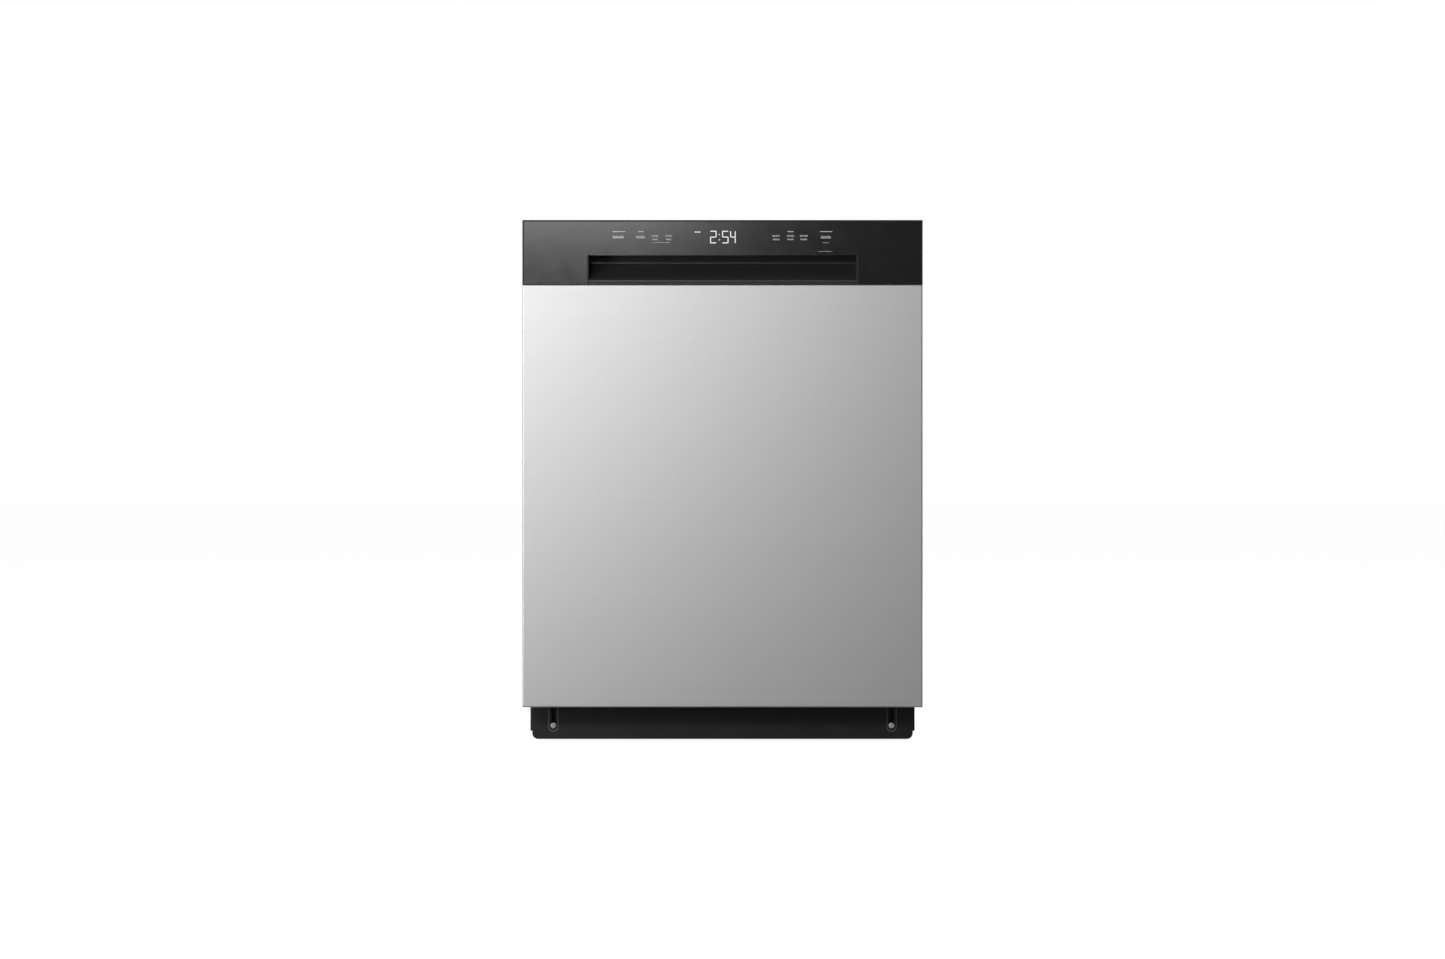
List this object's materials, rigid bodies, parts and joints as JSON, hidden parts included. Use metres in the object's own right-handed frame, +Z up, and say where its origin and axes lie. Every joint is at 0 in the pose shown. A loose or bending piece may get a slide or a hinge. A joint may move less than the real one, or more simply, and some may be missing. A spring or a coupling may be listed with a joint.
{
  "type": "built-in dishwasher",
  "caption": "Built-in dishwasher with front controls, a pocket handle, a drop-down stainless door, sliding wire racks, spray arms and a black kick plate.",
  "frame": {"origin": "on the floor, under the middle of the machine's bounding box, feet screwed right in", "axes": "+X to the right seen from the front, -Y out through the door, +Z up"},
  "size_m": [0.603, 0.625, 0.792],
  "materials": {
    "door_steel": "fine horizontal brush",
    "inner_steel": "satin stainless sheet",
    "wire_coating": "grey nylon coated wire",
    "fascia_plastic": "dark grey glossy moulding",
    "pocket_plastic": "black satin moulding",
    "kick_paint": "black semi-matt enamel",
    "zinc_steel": "zinc plated sheet",
    "screw_steel": "plated steel",
    "spring_steel": "drawn spring wire",
    "base_plastic": "black moulded polypropylene",
    "grey_plastic": "grey moulded polypropylene",
    "light_plastic": "light grey moulding",
    "blue_plastic": "blue moulding",
    "clear_plastic": "translucent polypropylene",
    "white_plastic": "white moulded plastic",
    "board": "glass fibre board with parts",
    "seal_rubber": "black soft rubber",
    "hose_rubber": "corrugated hose",
    "felt": "pressed fibre mat",
    "wheel_plastic": "acetal"
  },
  "bodies": {
    "cabinet": {"tub": "inner_steel", "base_tray": "base_plastic", "insulation_blanket": "felt", "top_cross_rail": "zinc_steel", "countertop_brackets": "zinc_steel", "latch_strike": "screw_steel", "door_gasket": "seal_rubber", "hinge_brackets": "zinc_steel", "sump": "grey_plastic", "coarse_filter": "inner_steel", "heater": "zinc_steel", "feed_pipe": "grey_plastic", "wash_pump_housing": "white_plastic", "drain_pump_housing": "white_plastic", "inlet_valve": "white_plastic", "air_break": "clear_plastic", "internal_hoses": "hose_rubber", "junction_box": "zinc_steel", "inner_kick_panel": "zinc_steel", "kick_screws": "screw_steel", "rail_glides": "light_plastic", "door_springs": "spring_steel"},
    "door": {"door_outer_panel": "door_steel", "control_fascia": "fascia_plastic", "handle_cup": "pocket_plastic", "display_board": "board", "door_liner": "inner_steel", "door_insulation": "felt", "door_bottom_seal": "seal_rubber", "hinge_arms": "zinc_steel", "door_screws": "screw_steel", "dispenser_body": "grey_plastic", "latch_housing": "base_plastic"},
    "latch_hook": {"latch_hook": "screw_steel"},
    "dispenser_lid": {"dispenser_lid": "light_plastic"},
    "rinse_aid_cap": {"rinse_aid_cap": "blue_plastic"},
    "upper_rails": {"upper_rails": "inner_steel"},
    "upper_rack": {"upper_rack": "wire_coating", "upper_rack_carriers": "light_plastic", "middle_manifold": "grey_plastic"},
    "upper_wheels_front": {"upper_wheels_front": "wheel_plastic"},
    "upper_wheels_rear": {"upper_wheels_rear": "wheel_plastic"},
    "cup_shelf": {"cup_shelf": "wire_coating"},
    "middle_spray_arm": {"middle_spray_arm": "grey_plastic"},
    "lower_rack": {"lower_rack": "wire_coating"},
    "silverware_basket": {"silverware_basket": "grey_plastic"},
    "lower_wheels_front": {"lower_wheels_front": "wheel_plastic"},
    "lower_wheels_rear": {"lower_wheels_rear": "wheel_plastic"},
    "folding_tines": {"folding_tines": "wire_coating"},
    "lower_spray_arm": {"lower_spray_arm": "grey_plastic"},
    "top_spray_arm": {"top_spray_arm": "grey_plastic"},
    "fine_filter": {"fine_filter": "light_plastic"},
    "float_dome": {"float_dome": "light_plastic"},
    "pump_rotor": {"pump_rotor": "base_plastic"},
    "drain_impeller": {"drain_impeller": "blue_plastic"},
    "kick_plate": {"kick_plate": "kick_paint"},
    "foot_front_left": {"foot_front_left": "screw_steel"},
    "foot_front_right": {"foot_front_right": "screw_steel"},
    "foot_rear_left": {"foot_rear_left": "screw_steel"},
    "foot_rear_right": {"foot_rear_right": "screw_steel"}
  },
  "joints": [
    {"name": "door_hinge", "type": "hinge", "parent": "cabinet", "child": "door", "pos_m": [0, -0.3, 0.099], "axis": [1, 0, 0], "range_deg": [0, 90], "stiffness_Nm_per_rad": 18, "deforming": ["door_springs"]},
    {"name": "latch_pivot", "type": "hinge", "parent": "door", "child": "latch_hook", "pos_m": [0, -0.277, 0.765], "axis": [1, 0, 0], "range_deg": [0, 20], "stiffness_Nm_per_rad": 0.05},
    {"name": "dispenser_lid_slide", "type": "slide", "parent": "door", "child": "dispenser_lid", "axis": [-1, 0, 0], "range_m": [0, 0.055]},
    {"name": "rinse_aid_cap_turn", "type": "hinge", "parent": "door", "child": "rinse_aid_cap", "pos_m": [-0.072, -0.255, 0.462], "axis": [0, 1, 0], "range_deg": [0, 90]},
    {"name": "upper_rail_slide", "type": "slide", "parent": "cabinet", "child": "upper_rails", "axis": [0, -1, 0], "range_m": [0, 0.24]},
    {"name": "upper_rack_slide", "type": "slide", "parent": "upper_rails", "child": "upper_rack", "axis": [0, -1, 0], "range_m": [0, 0.24]},
    {"name": "upper_wheel_front_roll", "type": "hinge", "parent": "upper_rack", "child": "upper_wheels_front", "pos_m": [0, 0.03, 0.56], "axis": [1, 0, 0], "continuous": true},
    {"name": "upper_wheel_rear_roll", "type": "hinge", "parent": "upper_rack", "child": "upper_wheels_rear", "pos_m": [0, 0.19, 0.56], "axis": [1, 0, 0], "continuous": true},
    {"name": "cup_shelf_fold", "type": "hinge", "parent": "upper_rack", "child": "cup_shelf", "pos_m": [-0.228, 0, 0.562], "axis": [0, -1, 0], "range_deg": [0, 85]},
    {"name": "middle_arm_spin", "type": "hinge", "parent": "upper_rack", "child": "middle_spray_arm", "pos_m": [0, 0.02, 0.4475], "axis": [0, 0, 1], "continuous": true},
    {"name": "lower_rack_slide", "type": "slide", "parent": "cabinet", "child": "lower_rack", "axis": [0, -1, 0], "range_m": [0, 0.5]},
    {"name": "silverware_lift", "type": "slide", "parent": "lower_rack", "child": "silverware_basket", "axis": [0, 0, 1], "range_m": [0, 0.1]},
    {"name": "lower_wheel_front_roll", "type": "hinge", "parent": "lower_rack", "child": "lower_wheels_front", "pos_m": [0, -0.17, 0.1592], "axis": [1, 0, 0], "continuous": true},
    {"name": "lower_wheel_rear_roll", "type": "hinge", "parent": "lower_rack", "child": "lower_wheels_rear", "pos_m": [0, 0.19, 0.1592], "axis": [1, 0, 0], "continuous": true},
    {"name": "tine_fold", "type": "hinge", "parent": "lower_rack", "child": "folding_tines", "pos_m": [-0.1375, 0, 0.1755], "axis": [0, -1, 0], "range_deg": [0, 80]},
    {"name": "lower_arm_spin", "type": "hinge", "parent": "cabinet", "child": "lower_spray_arm", "pos_m": [0, 0.02, 0.141], "axis": [0, 0, 1], "continuous": true},
    {"name": "top_arm_spin", "type": "hinge", "parent": "cabinet", "child": "top_spray_arm", "pos_m": [0, 0.02, 0.734], "axis": [0, 0, 1], "continuous": true},
    {"name": "fine_filter_twist", "type": "hinge", "parent": "cabinet", "child": "fine_filter", "pos_m": [0.04, -0.028, 0.1], "axis": [0, 0, 1], "range_deg": [0, 90]},
    {"name": "float_rise", "type": "slide", "parent": "cabinet", "child": "float_dome", "axis": [0, 0, 1], "range_m": [0, 0.012]},
    {"name": "pump_spin", "type": "hinge", "parent": "cabinet", "child": "pump_rotor", "pos_m": [-0.19, 0.02, 0.066], "axis": [1, 0, 0], "continuous": true},
    {"name": "drain_pump_spin", "type": "hinge", "parent": "cabinet", "child": "drain_impeller", "pos_m": [0.15, -0.11, 0.072], "axis": [0, 1, 0], "continuous": true},
    {"name": "kick_plate_slide", "type": "slide", "parent": "cabinet", "child": "kick_plate", "axis": [0, 0, -1], "range_m": [0, 0.06]},
    {"name": "foot_front_left_screw", "type": "slide", "parent": "cabinet", "child": "foot_front_left", "axis": [0, 0, -1], "range_m": [0, 0.065]},
    {"name": "foot_front_right_screw", "type": "slide", "parent": "cabinet", "child": "foot_front_right", "axis": [0, 0, -1], "range_m": [0, 0.065]},
    {"name": "foot_rear_left_screw", "type": "slide", "parent": "cabinet", "child": "foot_rear_left", "axis": [0, 0, -1], "range_m": [0, 0.065]},
    {"name": "foot_rear_right_screw", "type": "slide", "parent": "cabinet", "child": "foot_rear_right", "axis": [0, 0, -1], "range_m": [0, 0.065]}
  ],
  "couplings": [
    {"joint": "lower_rack_slide", "follows": "door_hinge", "m_per_rad": 0.05},
    {"joint": "upper_rail_slide", "follows": "door_hinge", "m_per_rad": 0.145},
    {"joint": "upper_rack_slide", "follows": "door_hinge", "m_per_rad": 0.145},
    {"joint": "upper_wheel_front_roll", "follows": "door_hinge", "ratio": 11.694},
    {"joint": "lower_wheel_front_roll", "follows": "door_hinge", "ratio": 3.125},
    {"joint": "upper_wheel_rear_roll", "follows": "door_hinge", "ratio": 11.694},
    {"joint": "lower_wheel_rear_roll", "follows": "door_hinge", "ratio": 3.125}
  ]
}
